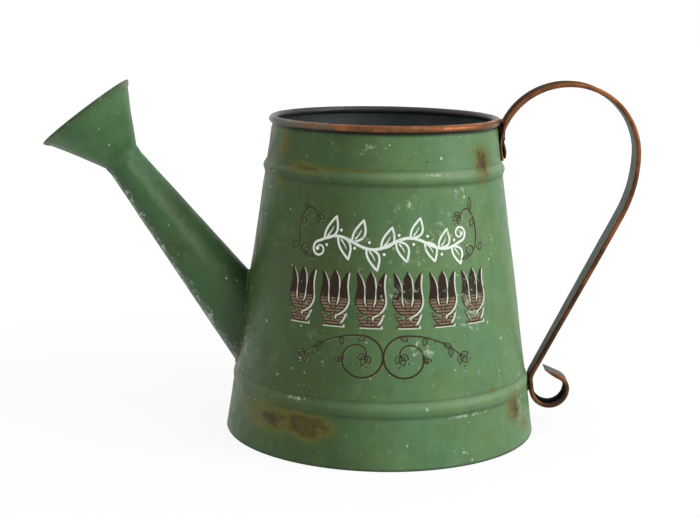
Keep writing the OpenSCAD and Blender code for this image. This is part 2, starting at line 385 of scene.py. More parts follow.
waves = noise_value(where, 130, 3, 0.6)
roughness = remap(waves, 0.3, 0.7, 0.38, 0.52)
fill(put, {"Color": color, "Roughness": roughness, "Height": waves * 0.4 - chips * 0.35, "Chips": chips})
print("group", PAINT.name, "has", len(PAINT.nodes), "nodes")

# %% [markdown]
# ## Finishes
#
# Every finish ends in one Principled shader.  The wall's paint adds rust stains at chosen places, painted shade
# in the creases, under the rim, along the foot and round the spout's root, and wear and painted highlights on
# the ribs.  The stains are listed by where they are on the wall: degrees from the front towards the handle,
# height, half their width and height in millimetres, and how strong they are.

# %% Where the stains and the bare patches are, with one painted highlight among the patches
RUST_STAINS = (
    (-57, 175, 5, 8, 0.75), (-58, 153, 6, 3.5, 0.5), (-37, 163, 15, 2.8, 0.75), (-14, 163.5, 15, 1.2, 0.55),
    (53, 166, 8.5, 9.5, 1.02), (-44, 22, 22, 8, 0.85), (-28, 21, 14, 7, 1.25), (61, 24, 9, 10, 0.88),
    (69, 12, 8, 6, 0.6), (47, 39, 5, 1.8, 0.5), (100, 60, 7, 11, 0.5), (140, 20, 20, 7, 0.8),
    (-120, 15, 22, 6, 0.7), (-150, 150, 8, 12, 0.6), (175, 165, 13, 5, 0.7),
)
WEAR_AND_HIGHLIGHT_PATCHES = (
    (2, 96, 40, 20, 0.42), (10, 118, 34, 34, 0.34), (36, 150, 10, 8, 0.45), (38, 80, 12, 12, 0.5),
    (16, 66, 15, 11, 0.50), (-22, 58, 10, 5, 0.4), (-8, 176, 16, 7, 0.45), (12, 145, 16, 8, 0.42),
    (28, 130, 24, 16, 0.45), (-12, 126, 20, 10, 0.35), (40, 92, 16, 18, 0.5), (53, 118, 6, 24, 0.45),
    # the patch at -31 degrees and 36 mm is a painted highlight on the lower rib's upper flank
    (34, 28, 16, 1.2, 0.75), (-31, 36, 10, 1.4, 0.55), (24, 161.5, 14, 1.0, 0.65), (66, 26, 10, 20, 0.6),
    (30, 8, 26, 4, 0.38), (-68, 60, 8, 28, 0.45), (-60, 110, 6, 30, 0.3),
)
RIM_WEAR = ((-85, RIM_Z - 4, 48, 30, 1.4), (178, RIM_Z - 4, 40, 30, 1.0))


def stain_field(where, stains):
    """The strongest of several stains at each point, given by centre, reach and strength."""
    field = 0.0
    for centre, reach, strength in stains:
        sizes = {"Centre": Vector(centre) * MM, "Reach": Vector(reach) * MM}
        stain = use_group(STAIN, Vector=where, Strength=strength, **sizes)
        field = calculate("MAXIMUM", stain["Field"], field)
    return field


def wall_stains(where, rows):
    """The stains of a list like the ones above."""
    stains = []
    for azimuth, z, half_width, half_height, strength in rows:
        stains.append((on_wall(radians(azimuth - 90), z), (half_width, half_width, half_height), strength))
    return stain_field(where, stains)


def wear_mask(where, rows):
    """Soft-edged wear at the given places."""
    return remap(wall_stains(where, rows), 0.15, 1.05)


print(len(RUST_STAINS), "stains and", len(WEAR_AND_HIGHLIGHT_PATCHES), "bare patches")

# %% Where a point is: its height, its distance from the can's axis and from the spout's axis
COPPER_Z = RIM_Z - ROLL_R - 0.4
NECK = Vector((-156.8, 0, 160.8))
NECK_R = 10.8
TAPER = tan(radians(4.4))
SPOUT_ANGLE = 52.0
SPOUT_AXIS = Vector((-cos(radians(SPOUT_ANGLE)), 0, sin(radians(SPOUT_ANGLE))))
UPPER_SIDE = Vector((sin(radians(SPOUT_ANGLE)), 0, cos(radians(SPOUT_ANGLE))))


def height_of(where):
    """The height of a point, in metres."""
    return Field(add_node(where.tree, "ShaderNodeSeparateXYZ", {0: where}).outputs[2])


def from_axis(where):
    """Distance from the can's axis."""
    return where.vector("MULTIPLY", (1, 1, 0)).vector("LENGTH")


def off_wall(where):
    """Distance outside the wall's slanted surface."""
    return from_axis(where) - (BASE_R * MM - height_of(where) * SLOPE)


def band(z, middle, reach):
    """1 at one height, fading to 0 at a distance of reach, in millimetres."""
    return remap(abs(z - middle * MM), reach * MM, 0.0)


def from_neck(where):
    """The way from the neck of the spout, and the distance from the spout's axis."""
    away = where.vector("SUBTRACT", NECK * MM)
    return away, away.vector("CROSS_PRODUCT", SPOUT_AXIS).vector("LENGTH")


def near_spout(where):
    """1 on the wall close to the spout's root, where shade falls in the corner."""
    away, distance = from_neck(where)
    tube = away.vector("DOT_PRODUCT", -SPOUT_AXIS) * TAPER + NECK_R * MM
    return remap(distance - tube, 5.5 * MM, 0.8 * MM)


def spout_side(where):
    """Where a point round the spout's axis faces: 1 for the upper edge, -1 for the lower edge."""
    away, distance = from_neck(where)
    return away.vector("DOT_PRODUCT", UPPER_SIDE) / distance


print("the spout leans", SPOUT_ANGLE, "degrees up from level")

# %% Rust laid over any paint, and the last node of a finish
RUST_DARK = (0.026, 0.016, 0.003, 1)
RUST_BROWN = (0.072, 0.046, 0.004, 1)
RUST_MUSTARD = (0.122, 0.116, 0.010, 1)
PAINT_GLOSS = 0.25
LAMP_SIDE = 60.0  # the side towards the lamps, painted paler as a painted sheen, in degrees from the front


def lay_rust(where, color, field):
    """A thin mustard stain with a mottled brown heart, laid over a colour."""
    color = mix_colors(remap(field, 0.0, 1.0) * 0.86, color, RUST_MUSTARD)
    heart = remap(noise_value(where, 260, 6, 0.74) * 1.2 + field, 1.22, 1.85)
    brown = mix_colors(remap(noise_value(where, 120, 5, 0.66), 0.40, 0.64), RUST_DARK, RUST_BROWN)
    return mix_colors(heart * 0.85, color, brown)


def painted_lamp_side(where):
    """How much the wall is painted paler towards the lamps, as a painted sheen: one side, with a cloudy border.
    """
    angle = radians(LAMP_SIDE - 90)
    towards = where.vector("DOT_PRODUCT", (cos(angle), sin(angle), 0)) / from_axis(where)
    return remap(towards + (noise_value(where, 24, 5, 0.6) - 0.5) * 0.45, 0.05, 0.82)


def finish(material, color, roughness, height=None, bump=0.2, metallic=0.0, gloss=PAINT_GLOSS):
    """Ends a material in its Principled shader, with an optional bump of some millimetres."""
    tree = material.node_tree
    inputs = {"Base Color": color, "Roughness": roughness, "Metallic": metallic, "Specular IOR Level": gloss}
    if height:
        relief = {"Height": height, "Strength": 1.0, "Distance": bump * MM}
        inputs["Normal"] = add_node(tree, "ShaderNodeBump", relief).outputs[0]
    shader = add_node(tree, "ShaderNodeBsdfPrincipled", inputs)
    add_node(tree, "ShaderNodeOutputMaterial", {"Surface": shader.outputs[0]})


print("rust and finish ready")

# %% The wall's paint, with wear, painted shade and painted highlights along the ribs, the rim, the foot and the spout
# each rib gets painted shade just below and just above, and a painted highlight just above its middle,
# strongest on the side with the painted sheen
WALL_PAINT, where = new_finish("wall_paint")
z = height_of(where)
# painted sheen: the paint is paler on the side towards the lamps
painted_sheen = painted_lamp_side(where)
paint = use_group(PAINT, Vector=where, Fade=painted_sheen, Wear=wear_mask(where, WEAR_AND_HIGHLIGHT_PATCHES))
color = paint["Color"]
lit = remap(painted_sheen, 0.0, 1.0, 0.12, 0.50)
for middle, width, _ in RIBS:
    below = band(z, middle - 0.36 * width, 2.0) * 0.42
    above = band(z, middle + 0.52 * width, 1.2) * 0.30
    color = mix_colors(calculate("MAXIMUM", below, above), color, DEEP)
    color = mix_colors(band(z, middle + 0.24 * width, 3.4) * lit, color, PALE_GREEN)
# painted shade under the rim roll
under_rim = band(z, COPPER_Z, 1.5) * 0.85
# painted shade along the foot
at_foot = band(z, 0.0, 2.2) * 0.80
# painted shade, broken up by noise, in the corner round the spout's root
at_root = near_spout(where) * (remap(noise_value(where, 70, 5, 0.68), 0.45, 0.66) + 0.35) * 0.6
color = mix_colors(calculate("MAXIMUM", calculate("MAXIMUM", under_rim, at_foot), at_root), color, DEEP)
color = lay_rust(where, color, wall_stains(where, RUST_STAINS))
finish(WALL_PAINT, color, paint["Roughness"], paint["Height"])
print(WALL_PAINT.name, "has", len(WALL_PAINT.node_tree.nodes), "nodes")

# %% [markdown]
# The spout and the rose wear the same paint.  Their stains are given as plain points on their surface.


# %% Paint of the spout and the rose
def cooler(color):
    """The same paint with less red in it."""
    return mix_colors(1.0, color, (0.86, 1.02, 1.08, 1), "MULTIPLY")


def painted_underside_shade(color, side):
    """Painted shade on the edge that faces down."""
    return mix_colors(remap(side, -0.86, -0.95) * 0.88, color, DEEP)


SPOUT_PAINT, where = new_finish("spout_paint")
side = spout_side(where)
ragged = (noise_value(where, 130, 6, 0.7) - 0.5) * 0.5
low = remap(side + ragged, -0.45, -0.85)
# painted shade: the spout's paint is darker towards its lower side, and cloudy
cloudy = remap(noise_value(where, 30, 4, 0.6), 0.35, 0.65, 0.14, 0.42) * remap(side, -0.9, 0.2, 0.3, 1.0)
paint = use_group(PAINT, Vector=where, Fade=cloudy, Wear=low * 0.75)
# painted highlight: a pale stripe along the spout's upper side, fading out near the wall
painted_highlight = remap(abs(side - 0.38 + ragged), 0.30, 0.0) * remap(off_wall(where), 12 * MM, 40 * MM)
color = mix_colors(painted_highlight * 0.40, cooler(paint["Color"]), PALE_GREEN)
color = painted_underside_shade(color, side)
# painted shade on the spout close to the wall, where the can shades it
near = off_wall(where) + ragged * (30 * MM)
color = mix_colors(remap(near, 20 * MM, 1 * MM, 0.0, 0.62), color, DEEP)
spots = stain_field(where, [((-106, -19, 100), (3, 3, 3), 0.4), ((-124, -12, 132), (2.5, 2.5, 2.5), 0.4)])
finish(SPOUT_PAINT, lay_rust(where, color, spots), paint["Roughness"], paint["Height"])

ROSE_PAINT, where = new_finish("rose_paint")
cloudy = remap(noise_value(where, 34, 4, 0.6), 0.35, 0.65, 0.35, 0.70)
paint = use_group(PAINT, Vector=where, Fade=cloudy, Wear=0.0)
spots = stain_field(where, [((-188, -24, 186), (5, 5, 5), 0.5), ((-172, -20, 207), (9, 9, 9), 0.5)])
color = painted_underside_shade(lay_rust(where, cooler(paint["Color"]), spots), spout_side(where))
finish(ROSE_PAINT, color, paint["Roughness"], paint["Height"])
print(SPOUT_PAINT.name, ROSE_PAINT.name)

# %% Copper-coloured finish of the rolled edges
COPPER = (0.31, 0.112, 0.040, 1)
COPPER_BROWN = (0.060, 0.025, 0.009, 1)
COPPER_PALE = (0.100, 0.105, 0.082, 1)
COPPER_DARK = (0.020, 0.012, 0.008, 1)
DARK_ZINC = (0.030, 0.034, 0.036, 1)


def copper_colors(where):
    """Colour, roughness and metallic of worn copper.  It is browner lower down."""
    aged = remap(noise_value(where, 60, 6, 0.68), 0.34, 0.70, 0.10, 0.90)
    aged = calculate("MINIMUM", aged + remap(height_of(where), 150 * MM, 60 * MM, 0.0, 0.40), 1.0)
    color = mix_colors(aged, COPPER, COPPER_BROWN)
    pits = use_group(CHIPS, Vector=where, Scale=420.0, Share=0.20, Size=0.40)["Mask"]
    color = mix_colors(pits * 0.6, color, COPPER_BROWN)
    return color, remap(aged, 0, 1, 0.30, 0.52), remap(aged, 0, 1, 0.9, 0.40)


RIM_COPPER, where = new_finish("rim_copper")
color, roughness, metallic = copper_colors(where)
worn = wear_mask(where, RIM_WEAR)
inner = remap(from_axis(where), (MOUTH_R + 0.2) * MM, (MOUTH_R - 0.9) * MM)
# painted shade on the underside of the rim roll
under = remap(height_of(where), (RIM_Z - 0.3) * MM, (RIM_Z - 1.6) * MM, 0.0, 0.92)
color = mix_colors(worn * 0.85, color, COPPER_PALE)
color = mix_colors(under, color, COPPER_DARK)
color = mix_colors(inner * 0.9, color, DARK_ZINC)
metallic = metallic * remap(calculate("MAXIMUM", worn, inner), 0, 1, 1.0, 0.3)
finish(RIM_COPPER, color, roughness, noise_value(where, 260, 3, 0.6), 0.25, metallic, 0.3)
print(RIM_COPPER.name)

# %% Dull zinc inside the can and under it
ZINC, where = new_finish("dull_zinc")
spangle = add_node(where.tree, "ShaderNodeTexVoronoi", {"Vector": where, "Scale": 70.0}).outputs["Color"]
tone = remap(noise_value(where, 28, 5, 0.6), 0.3, 0.7)
color = mix_colors(tone, (0.050, 0.060, 0.061, 1), (0.092, 0.106, 0.107, 1))
color = mix_colors(0.10, color, spangle, "OVERLAY")
color = mix_colors(remap(noise_value(where, 45, 6, 0.7), 0.60, 0.76) * 0.6, color, (0.10, 0.045, 0.018, 1))
finish(ZINC, color, remap(tone, 0, 1, 0.5, 0.68), noise_value(where, 120, 3, 0.6), 0.3, 0.3, 0.3)
print(ZINC.name)

# %% [markdown]
# ## From mesh to piece
#
# Each piece starts as a bmesh in millimetres.  One function finishes it: scale to metres, smooth shading with
# sharp creases kept, its finishes, and the calls that tie it to the frame.


# %% Finishing a piece
def make_piece(name, bm, finishes, nodes=(), crease=38):
    """Turns a bmesh in millimetres into a finished object that rides on the can."""
    bmesh.ops.scale(bm, vec=(MM, MM, MM), verts=bm.verts)
    for face in bm.faces:
        face.smooth = True
    for edge in bm.edges:
        edge.smooth = edge.calc_face_angle(0) < radians(crease)
    mesh = bpy.data.meshes.new(name)
    bm.to_mesh(mesh)
    bm.free()
    for material in finishes:
        mesh.materials.append(material)
    piece = new_object(name, mesh)
    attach(piece, "root")
    if nodes:
        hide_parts(*nodes)
    print(f"{name}: {len(mesh.vertices)} points, {len(mesh.polygons)} faces")
    return piece


def draw_line(bm, points, closed=False):
    """Draws points as a line of edges."""
    verts = [bm.verts.new(p) for p in points]
    edges = [bm.edges.new(pair) for pair in zip(verts, verts[1:])]
    if closed:
        edges.append(bm.edges.new((verts[-1], verts[0])))
    return verts + edges


def spin_outline(points, steps, closed=True):
    """Turns an outline of (radius, height) points once round Z.  A closed outline makes a closed shell."""
    bm = bmesh.new()
    line = draw_line(bm, [(r, 0, z) for r, z in points], closed)
    bmesh.ops.spin(bm, geom=line, cent=(0, 0, 0), axis=(0, 0, 1), angle=2 * pi, steps=steps, use_merge=True)
    bmesh.ops.remove_doubles(bm, verts=bm.verts, dist=0.0005)
    bmesh.ops.recalc_face_normals(bm, faces=bm.faces)
    return bm


def arc(centre, r, start, end, steps):
    """Points of an arc in a plane, angles in degrees."""
    angles = [radians(start + (end - start) * i / steps) for i in range(steps + 1)]
    return [(centre[0] + r * cos(a), centre[1] + r * sin(a)) for a in angles]


def angle_of(point):
    """Where a point is round the Z axis."""
    return atan2(point.y, point.x)


def ring_noise(angle, fineness, z):
    """Smooth noise round a ring, the same at both ends of a full turn."""
    return noise.noise(Vector((cos(angle) * fineness, sin(angle) * fineness, z)))


def push_out(vert, by):
    """Moves a point away from the Z axis."""
    r = vert.co.xy.length
    vert.co.xy *= (r + by) / r


def cut_away(piece, cutter_bm, place):
    """Cuts a closed shape, drawn in millimetres, out of a finished piece."""
    bmesh.ops.transform(cutter_bm, matrix=Matrix.Scale(MM, 4) @ place, verts=cutter_bm.verts)
    mesh = bpy.data.meshes.new("cutter")
    cutter_bm.to_mesh(mesh)
    cutter_bm.free()
    cutter = new_object("cutter", mesh)
    modifier = piece.modifiers.new("cut", "BOOLEAN")
    modifier.operation = "DIFFERENCE"
    modifier.solver = "EXACT"
    modifier.object = cutter
    bpy.context.view_layer.update()
    cut = bpy.data.meshes.new_from_object(piece.evaluated_get(bpy.context.evaluated_depsgraph_get()))
    piece.modifiers.clear()
    piece.data = cut
    bpy.data.objects.remove(cutter)
    print(f"{piece.name}: {len(cut.polygons)} faces after the cut")


print("mesh helpers ready")

# %% [markdown]
# ## The spout's own frame
#
# The spout, its solder and the rose share one slanted axis.  A matrix carries a shape drawn round Z to it:
# the neck of the spout is at 0, the rose is above, and the can's wall is below.

# %% The slanted axis
SPOUT = Matrix.Translation(NECK) @ Matrix.Rotation(radians(SPOUT_ANGLE - 90), 4, "Y")


def on_spout(angle, depth, lift=0.0):
    """A point on the spout's outside, at an angle round its axis and a depth below the neck."""
    r = NECK_R + TAPER * depth + lift
    return SPOUT @ Vector((r * cos(angle), r * sin(angle), -depth))


def root_depth(angle, lift=0.0):
    """How deep below the neck the spout's side reaches the wall, found by halving."""
    low, high = 0.0, 150.0
    for _ in range(24):
        depth = (low + high) / 2
        p = on_spout(angle, depth, lift)
        if hypot(p.x, p.y) > on_wall(angle_of(p), p.z).xy.length:
            low = depth
        else:
            high = depth
    return low


print("the spout meets the wall", [round(root_depth(a), 1) for a in (0, pi)], "mm below the neck")

# %% [markdown]
# ## The wall
#
# The wall is one sheet.  Its section is drawn as one closed outline and spun round Z: up the outside with its
# two ribs, round the wire of the rim, down the inside, and round the folded foot.  The sheet's own edge stays
# open under the rim roll, which gives the fine dark line there.

# %% The section of the wall
ROW = 1.5
ROLL_STEPS = 20
FOLD = 3.0

rows = [1.0 + ROW * i for i in range(int((RIM_Z - 4) / ROW))]
outer_face = [(wall_radius(z) + rib_height(z), z) for z in rows]
inner_face = [(r - SHEET, z) for r, z in reversed(outer_face)]
rim = (MOUTH_R, RIM_Z)
roll = arc(rim, ROLL_R - SHEET, -95, -430, ROLL_STEPS) + arc(rim, ROLL_R, -430, -110, ROLL_STEPS)
foot_edge = BASE_R - 3 * SHEET
foot = [(foot_edge + SHEET, 0.7), (foot_edge + SHEET, FOLD), (foot_edge, FOLD), (foot_edge, 0.5)]
foot += [(foot_edge + 0.15, 0.12), (foot_edge + 0.5, 0)]
foot += [(BASE_R - 0.5, 0), (BASE_R - 0.14, 0.14), (BASE_R, 0.5)]
bm = spin_outline(outer_face + roll + inner_face + foot, 192)
print("the wall's section turns into", len(bm.faces), "faces")

# %% The lapped seam at the back
SEAM_HALF = 4.5
SEAM_SLANT = 0.35
SEAM_ZONE = 12.0
for x in (-SEAM_HALF - SEAM_SLANT, -SEAM_HALF, SEAM_HALF, SEAM_HALF + SEAM_SLANT):
    middles = [(f, f.calc_center_median()) for f in bm.faces]
    near = [f for f, middle in middles if middle.y > 0 and abs(middle.x) < SEAM_ZONE]
    parts = near + [e for f in near for e in f.edges] + [v for f in near for v in f.verts]
    parts = list(dict.fromkeys(parts))
    bmesh.ops.bisect_plane(bm, geom=parts, dist=0.0001, plane_co=(x, 0, 0), plane_no=(1, 0, 0))
for vert in bm.verts:
    outside = vert.co.xy.length > wall_radius(vert.co.z) - SHEET / 2 and FOLD < vert.co.z < RIM_Z - 4
    if outside and vert.co.y > 0 and abs(vert.co.x) <= SEAM_HALF + 0.01:
        push_out(vert, SHEET)
print("the seam is", 2 * SEAM_HALF, "mm wide")

# %% Dents, and which finish each face has
for vert in bm.verts:
    push_out(vert, dent(angle_of(vert.co), vert.co.z) * min(1.0, vert.co.z / 6))
for face in bm.faces:
    middle = face.calc_center_median()
    inward = face.normal.xy.dot(middle.xy) < 0
    if middle.z > COPPER_Z:
        face.material_index = 1
    elif inward and middle.z > FOLD:
        face.material_index = 2
wall = make_piece("can_wall", bm, [WALL_PAINT, RIM_COPPER, ZINC], ["body_wall"])

# %% The hole behind the spout
HOLE_TRIM = 0.4
HOLE_DEEP, HOLE_END = 160.0, 135.0
bm = bmesh.new()
top_r = NECK_R - SHEET - HOLE_TRIM
base_r = top_r + TAPER * HOLE_DEEP
bmesh.ops.create_cone(bm, cap_ends=True, segments=64, radius1=base_r, radius2=top_r, depth=HOLE_DEEP)
bmesh.ops.translate(bm, vec=(0, 0, -HOLE_DEEP / 2), verts=bm.verts)
everything = bm.verts[:] + bm.edges[:] + bm.faces[:]
bmesh.ops.bisect_plane(bm, geom=everything, plane_co=(0, 0, -HOLE_END), plane_no=(0, 0, -1), clear_outer=True)
bmesh.ops.holes_fill(bm, edges=bm.edges)
cut_away(wall, bm, SPOUT)

# %% [markdown]
# ## The rim's wire and the base plate
#
# The wire is hidden in the rim, so the frame's own wire stays and only gets a finish.  The base plate is a
# disc with a skirt that stands in the folded foot.

# %% Wire and base plate
STEEL, where = new_finish("drawn_wire")
tone = mix_colors(noise_value(where, 300, 3), (0.22, 0.21, 0.20, 1), (0.40, 0.38, 0.36, 1))
finish(STEEL, tone, 0.4, metallic=1.0, gloss=0.5)
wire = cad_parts["rim_wire"]
wire.data.materials.clear()
wire.data.materials.append(STEEL)

PLATE_RS = (0, 20, 40, 60, 80)
top, under = BASE_RISE, BASE_RISE - SHEET
skirt = BASE_R - 1.15 * SHEET - 0.1
edge_in = skirt - SHEET
outline = [(r, top) for r in PLATE_RS] + arc((skirt - 1.3, top - 1.3), 1.3, 90, 0, 5)
outline += [(skirt, 0.8), (edge_in, 0.8)] + arc((edge_in - 0.7, under - 0.7), 0.7, 0, 90, 4)
bm = spin_outline(outline + [(r, under) for r in reversed(PLATE_RS)], 128, closed=False)
for vert in bm.verts:
    if vert.co.xy.length < BASE_R - 6:
        vert.co.z += 0.25 * noise.noise(vert.co / 30)
make_piece("can_base", bm, [ZINC], ["base_plate"])

# %% [markdown]
# ## The spout
#
# Two straight lines, one for the outside and one for the inside, are spun with many rows.  Then each row is
# slid along the cone's side so that the last one lies on the wall.  The tube is very slightly uneven.

# %% Spout tube
SPOUT_ROWS = 50
NECK_OVERLAP = 4.0
shares = [i / SPOUT_ROWS for i in range(SPOUT_ROWS + 1)]
bm = spin_outline([(2, s) for s in shares] + [(1, s) for s in reversed(shares)], 96)
for vert in bm.verts:
    angle = angle_of(vert.co)
    depth = vert.co.z * (root_depth(angle) + 0.4 + NECK_OVERLAP) - NECK_OVERLAP
    uneven = 0.16 * noise.noise(Vector((cos(angle), sin(angle), depth / 26)) * 1.7)
    vert.co = on_spout(angle, depth, uneven if vert.co.xy.length > 1.5 else uneven - SHEET)
make_piece("spout", bm, [SPOUT_PAINT], ["spout_tube"])

# %% Solder round the spout's root
BEAD = 1.7
RING = 5.0
SOLDER_PAINT, where = new_finish("solder_paint")
paint = use_group(PAINT, Vector=where, Fade=0.2, Wear=0.55)
blotches = remap(noise_value(where, 160, 4, 0.65), 0.40, 0.60, 0.35, 0.95)
finish(SOLDER_PAINT, mix_colors(blotches, paint["Color"], DEEP), paint["Roughness"], paint["Height"])

bm = spin_outline([(RING + x, y) for x, y in arc((0, 0), 1.0, 0, 315, 7)], 180)
for vert in bm.verts:
    angle = angle_of(vert.co)
    out, along = vert.co.xy.length - RING, vert.co.z
    lumps = 1 + 0.30 * ring_noise(angle, 6, 0) + 0.22 * ring_noise(angle, 17, 3)
    depth = root_depth(angle, BEAD * 0.2) - along * BEAD * lumps * 0.85
    vert.co = on_spout(angle, depth, (out * 0.85 - 0.15) * BEAD * lumps * 0.8)
make_piece("spout_root_solder", bm, [SOLDER_PAINT], ["spout_solder"], crease=80)

# %% [markdown]
# ## The rose
#
# The rose is a short flared cone with a collar that the spout's end is pushed into.  Its face is a separate
# plate: a disc, slightly domed, whose edge is folded back over the cone, with a hole in the middle and four
# rings of real holes round it.

# %% Rose cone
ROSE_LEN = 33.4
ROSE_R = 31.3
COLLAR = 4.2
FLARE = atan((ROSE_R - NECK_R) / ROSE_LEN)
cone_t = SHEET / cos(FLARE)
cone_neck_r = NECK_R + cone_t
cone_mouth_r = ROSE_R - cone_t


def cone_r(height):
    """Radius of the rose's outside at a height above the neck, with sides that bow in very slightly."""
    share = height / ROSE_LEN
    return cone_neck_r + (cone_mouth_r - cone_neck_r) * share - 0.35 * sin(pi * share)


cone_rows = [ROSE_LEN * i / 16 for i in range(17)]
collar_r = NECK_R + TAPER * COLLAR
collar = [(collar_r + 0.05, -COLLAR), (collar_r + 0.2, -COLLAR)]
collar += [(NECK_R + 0.62, -2.6), (NECK_R + SHEET + 0.12, -1.2)]
outside = [(cone_r(h), h) for h in cone_rows]
bm = spin_outline(collar + outside + [(r - cone_t, h) for r, h in reversed(outside)], 96)
for vert in bm.verts:
    angle, z = angle_of(vert.co), vert.co.z
    near_neck = max(0.0, 1 - abs(z + 0.6) / 2.6)
    lumps = 0.4 * ring_noise(angle, 4, z / 3) * near_neck
    push_out(vert, lumps + 0.2 * ring_noise(angle, 2, z / 14) * min(1, max(0, z / 8)))
bmesh.ops.transform(bm, matrix=SPOUT, verts=bm.verts)
make_piece("rose_head", bm, [ROSE_PAINT], ["rose_cone"])

# %% Rose face with its folded band
ROSE_BAND = 3.0
DOME = 1.0
HOLE_R = 1.0
HOLE_PITCH = 6.0
HOLE_RINGS = 4

ROSE_EDGE, where = new_finish("rose_face_paint")
paint = use_group(PAINT, Vector=where, Fade=0.55, Wear=0.30)
rubbed = remap(where.vector("DISTANCE", SPOUT @ Vector((0, 0, ROSE_LEN)) * MM), 0.0298, 0.0318)
ends = remap(abs(spout_side(where)), 0.86, 0.98, 0.0, 0.85)
color = mix_colors(rubbed * 0.62, paint["Color"], DEEP)
color = mix_colors(rubbed * ends, color, (0.17, 0.135, 0.13, 1))
finish(ROSE_EDGE, color, paint["Roughness"], paint["Height"])

front = [(r, ROSE_LEN + SHEET + DOME * cos(r / ROSE_R * pi / 2)) for r in (0, 7, 14, 21, 27)]
rear = [(r, h - SHEET) for r, h in reversed(front)]
fold_z = ROSE_LEN - ROSE_BAND * cos(FLARE)
fold = arc((cone_mouth_r + 0.15, ROSE_LEN), SHEET + 0.1, 90, -30, 6)
fold += [(cone_r(fold_z) + cone_t, fold_z), (cone_r(fold_z) + 0.05, fold_z), (cone_mouth_r + 0.05, ROSE_LEN)]
bm = spin_outline(front + fold + rear, 120, closed=False)
bmesh.ops.transform(bm, matrix=SPOUT, verts=bm.verts)
rose_face = make_piece("rose_face", bm, [ROSE_EDGE], ["rose_plate"])

bm = bmesh.new()
for ring in range(HOLE_RINGS + 1):
    count = max(1, 6 * ring)
    for i in range(count):
        out = Matrix.Translation((HOLE_PITCH * ring, 0, ROSE_LEN + 0.8))
        at = Matrix.Rotation(2 * pi * i / count, 4, "Z") @ out
        bmesh.ops.create_cone(
            bm, cap_ends=True, segments=14, radius1=HOLE_R, radius2=HOLE_R, depth=4, matrix=at
        )
cut_away(rose_face, bm, SPOUT)

# %% [markdown]
# ## The strap handle
#
# The handle is one strip with both edges rolled.  Its section is drawn once as a closed line, and carried
# from place to place along the handle: each step extrudes the ring of edges and moves the new points to the
# next place.  The route is made of arcs and straight runs that meet smoothly.  The strip keeps two numbers on
# each point that say how much it belongs to the rolled edge and to the outer face, which the finish uses.


# %% Directions in the handle's plane
def direction(heading):
    """A step of 1 to a heading in degrees."""
    return Vector((cos(radians(heading)), sin(radians(heading))))


def meeting_point(n1, d1, n2, d2):
    """The point at distance d1 along n1 and d2 along n2."""
    cross = n1.x * n2.y - n1.y * n2.x
    return Vector(((d1 * n2.y - d2 * n1.y) / cross, (d2 * n1.x - d1 * n2.x) / cross))


STRAP_W, STRAP_END_W, NARROW_Z = 20.0, 14.2, 112.0
EDGE_R = 1.4
TAB_PRESS, TAB_LOW_Z, TAB_BEND_R = 0.35, 163.6, 12.0
ARCH_C, ARCH_R, ARCH_START = Vector((107.8, 167.4)), 39.7, 161.0
SHOULDER_R, RUN_SLOPE, FOOT_BEND_R = 80.0, 63.5, 10.0
SCROLL_DROP, SCROLL_R, SCROLL_END_R, SCROLL_END_TURN, SCROLL_TAIL = 8.0, 12.1, 9.2, 68.0, 10.0
GAP = 0.1

lean = degrees(atan(SLOPE))
normal = direction(lean)
edge_y = STRAP_W / 2 - EDGE_R
narrowing = (STRAP_W - STRAP_END_W) / 2
print("the wall leans", round(lean, 1), "degrees")

# %% Corners of the route
arch_low = ARCH_C + ARCH_R * direction(ARCH_START)
tab_t = SHEET + (2 * EDGE_R - SHEET) * TAB_PRESS
tab_wall_x = sqrt(wall_radius(TAB_LOW_Z) ** 2 - edge_y ** 2)
tab_offset = Vector((tab_wall_x + GAP + tab_t, TAB_LOW_Z)).dot(normal)
arch_normal = -direction(ARCH_START)
tab_c = meeting_point(normal, tab_offset + TAB_BEND_R, arch_normal, TAB_BEND_R + arch_low.dot(arch_normal))
tab_end = tab_c - TAB_BEND_R * normal
tab_start = tab_end - (tab_end.y - TAB_LOW_Z) / sin(radians(90 + lean)) * direction(90 + lean)

shoulder_turn = 90 - RUN_SLOPE
shoulder_c = ARCH_C + Vector((ARCH_R - SHOULDER_R, 0))
run_normal = direction(-shoulder_turn)
run_start = shoulder_c + SHOULDER_R * run_normal
run_heading = -90 - shoulder_turn
narrow_start = run_start + (run_start.y - NARROW_Z) / cos(radians(shoulder_turn)) * direction(run_heading)
foot_offset = (BASE_R + RIBS[1][2] + GAP) * normal.x
foot_c = meeting_point(run_normal, run_start.dot(run_normal) + FOOT_BEND_R, normal, foot_offset + FOOT_BEND_R)
run_end = foot_c - FOOT_BEND_R * run_normal
foot_start = foot_c - FOOT_BEND_R * normal

scroll_z = RIBS[1][0] - SCROLL_DROP
scroll_c = Vector(((SCROLL_R + foot_offset - scroll_z * normal.y) / normal.x, scroll_z))
foot_end = scroll_c - SCROLL_R * normal
scroll_end_c = scroll_c + Vector((SCROLL_R - SCROLL_END_R, 0))
scroll_end = scroll_end_c + SCROLL_END_R * direction(SCROLL_END_TURN)
scroll_tip = scroll_end + SCROLL_TAIL * direction(SCROLL_END_TURN + 90)
for end, point in (("tab", tab_start), ("scroll", scroll_tip)):
    print("the handle's", end, "ends at", [round(v, 1) for v in point])


# %% Places along the route: point, heading, roundness of the rolled edges, narrowing
def bend(centre, r, start, end, roundness=1.0, inset=0.0):
    """Places along an arc."""
    steps = max(2, round(abs(end - start) / 4))
    turn = 90 if end > start else -90
    angles = [start + (end - start) * i / steps for i in range(1, steps + 1)]
    return [(centre + r * direction(a), a + turn, roundness, inset) for a in angles]


def straight(start, end, heading, roundness, inset_from, inset_to, steps):
    """Places along a straight run."""
    shares = [(i + 1) / steps for i in range(steps)]
    more = inset_to - inset_from
    return [(start.lerp(end, s), heading, roundness, inset_from + more * s) for s in shares]


